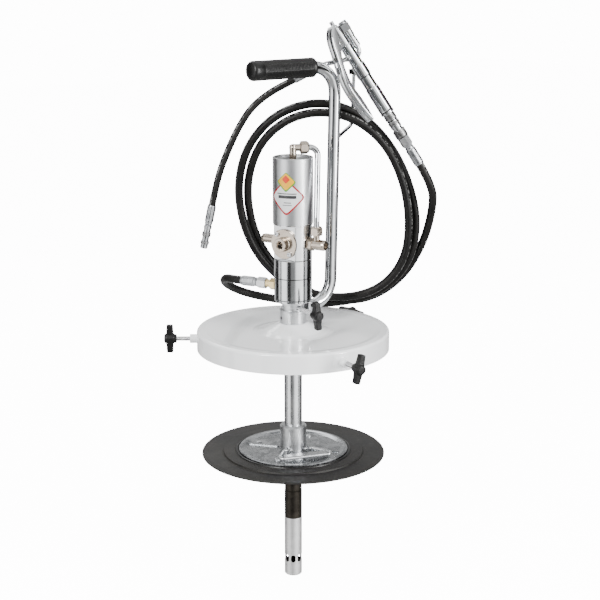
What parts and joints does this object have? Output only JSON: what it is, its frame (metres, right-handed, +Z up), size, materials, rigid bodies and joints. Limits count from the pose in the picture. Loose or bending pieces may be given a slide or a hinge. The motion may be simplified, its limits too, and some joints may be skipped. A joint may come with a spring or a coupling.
{
  "type": "drum grease pump",
  "caption": "Air-operated drum grease pump with a flanged drum cover and clamp screws, suction stem, follower plate, carrying handle, coiled delivery hose and control gun.",
  "frame": {"origin": "where the pump axis meets the drum seat plane, the underside of the cover", "axes": "+Z up along the pump axis; +X from the pump axis towards the upright of the carrying handle"},
  "size_m": [0.4371, 0.3849, 0.9401],
  "materials": {
    "white_enamel": "gloss",
    "zinc_steel": "zinc plated",
    "hard_steel": "ground",
    "aluminium": "anodised satin",
    "nickel_brass": "nickel plated",
    "brass": "plain",
    "chrome": "polished",
    "black_steel": "black oxide",
    "black_rubber": "matt",
    "black_plastic": "moulded"
  },
  "bodies": {
    "cover": {"drum_cover": "white_enamel", "cover_bosses": "white_enamel", "cover_collar": "zinc_steel"},
    "pump": {"pump_body": "aluminium", "rod_gland": "brass", "valve_body": "aluminium", "air_cylinder": "aluminium", "cylinder_head": "aluminium", "inlet_flange": "nickel_brass", "flange_screws": "zinc_steel", "silencer": "nickel_brass", "link_fitting": "nickel_brass", "top_elbow": "nickel_brass", "tube_nuts": "nickel_brass", "air_tube": "chrome", "stem_tube": "zinc_steel", "pump_barrel": "black_steel", "foot_tube": "zinc_steel", "foot_seat": "hard_steel", "handle_bracket": "zinc_steel", "handle_tube": "chrome", "handle_grip": "black_rubber", "hose_hook": "chrome", "gun_body": "chrome", "gun_barrel": "chrome", "gun_swivel": "chrome", "lever_pin": "hard_steel", "outlet_swivel": "chrome", "outlet_nut": "chrome", "whip_pipe": "chrome", "hose_main": "black_rubber", "whip_hose": "black_rubber", "hose_ferrules": "zinc_steel", "union_nuts": "zinc_steel", "outlet_nipple": "brass", "whip_ferrules": "zinc_steel", "grease_coupler": "zinc_steel"},
    "spool": {"air_spool": "hard_steel"},
    "check_ball": {"foot_ball": "hard_steel"},
    "reciprocator": {"air_piston": "aluminium", "piston_seal": "black_rubber", "drive_rod": "hard_steel", "plunger": "hard_steel"},
    "follower": {"follower_membrane": "black_rubber", "follower_plate": "zinc_steel", "follower_backing": "zinc_steel", "follower_collar": "zinc_steel", "follower_wiper": "black_rubber", "follower_screws": "zinc_steel"},
    "bail": {"lift_handle": "zinc_steel"},
    "trigger": {"gun_lever": "chrome"},
    "needle": {"valve_needle": "hard_steel"},
    "clamp_stud": {"collar_stud": "zinc_steel"},
    "clamp_knob": {"collar_knob": "black_plastic"},
    "stud_1": {"rim_stud_1": "zinc_steel"},
    "knob_1": {"rim_knob_1": "black_plastic"},
    "stud_2": {"rim_stud_2": "zinc_steel"},
    "knob_2": {"rim_knob_2": "black_plastic"},
    "stud_3": {"rim_stud_3": "zinc_steel"},
    "knob_3": {"rim_knob_3": "black_plastic"}
  },
  "joints": [
    {"name": "pump_lift", "type": "slide", "parent": "cover", "child": "pump", "axis": [0, 0, 1], "range_m": [0, 0.06]},
    {"name": "rim_screw_1", "type": "slide", "parent": "cover", "child": "stud_1", "axis": [-0.809, 0.5878, 0], "range_m": [-0.0075, 0.0025]},
    {"name": "rim_knob_1_turn", "type": "hinge", "parent": "stud_1", "child": "knob_1", "pos_m": [-0.14562, 0.1058, -0.016], "axis": [-0.809, 0.5878, 0], "range_deg": [-2161, 721]},
    {"name": "rim_screw_2", "type": "slide", "parent": "cover", "child": "stud_2", "axis": [-0.1045, -0.9945, 0], "range_m": [-0.0075, 0.0025]},
    {"name": "rim_knob_2_turn", "type": "hinge", "parent": "stud_2", "child": "knob_2", "pos_m": [-0.01881, -0.17901, -0.016], "axis": [-0.1045, -0.9945, 0], "range_deg": [-2161, 721]},
    {"name": "rim_screw_3", "type": "slide", "parent": "cover", "child": "stud_3", "axis": [0.9135, 0.4067, 0], "range_m": [-0.0075, 0.0025]},
    {"name": "rim_knob_3_turn", "type": "hinge", "parent": "stud_3", "child": "knob_3", "pos_m": [0.16444, 0.07321, -0.016], "axis": [0.9135, 0.4067, 0], "range_deg": [-2161, 721]},
    {"name": "clamp_screw", "type": "slide", "parent": "cover", "child": "clamp_stud", "axis": [-0.1045, -0.9945, 0], "range_m": [0, 0.005]},
    {"name": "clamp_knob_turn", "type": "hinge", "parent": "clamp_stud", "child": "clamp_knob", "pos_m": [-0.00523, -0.04973, 0.0405], "axis": [-0.1045, -0.9945, 0], "range_deg": [0, 1441]},
    {"name": "piston_stroke", "type": "slide", "parent": "pump", "child": "reciprocator", "axis": [0, 0, 1], "range_m": [0, 0.072]},
    {"name": "spool_shift", "type": "slide", "parent": "pump", "child": "spool", "axis": [0, 0, 1], "range_m": [0, 0.006]},
    {"name": "ball_lift", "type": "slide", "parent": "pump", "child": "check_ball", "axis": [0, 0, 1], "range_m": [0, 0.005]},
    {"name": "follower_slide", "type": "slide", "parent": "pump", "child": "follower", "axis": [0, 0, 1], "range_m": [-0.17, 0.08]},
    {"name": "bail_swing", "type": "hinge", "parent": "follower", "child": "bail", "pos_m": [-0.00834, -0.02568, -0.2022], "axis": [-0.9511, 0.309, 0], "range_deg": [0, 84]},
    {"name": "trigger_pull", "type": "hinge", "parent": "pump", "child": "trigger", "pos_m": [0.08977, 0.00072, 0.46276], "axis": [0.0816, -0.9179, 0.3883], "range_deg": [0, 10], "stiffness_Nm_per_rad": 1.5, "springref_deg": -17.19},
    {"name": "needle_push", "type": "slide", "parent": "pump", "child": "needle", "axis": [-0.8959, -0.2382, -0.375], "range_m": [-0.0048, 0]}
  ],
  "couplings": [
    {"joint": "rim_knob_1_turn", "follows": "rim_screw_1", "rad_per_m": 5026.5},
    {"joint": "rim_knob_2_turn", "follows": "rim_screw_2", "rad_per_m": 5026.5},
    {"joint": "rim_knob_3_turn", "follows": "rim_screw_3", "rad_per_m": 5026.5},
    {"joint": "clamp_knob_turn", "follows": "clamp_screw", "rad_per_m": 5026.5},
    {"joint": "needle_push", "follows": "trigger_pull", "m_per_rad": -0.0275}
  ]
}
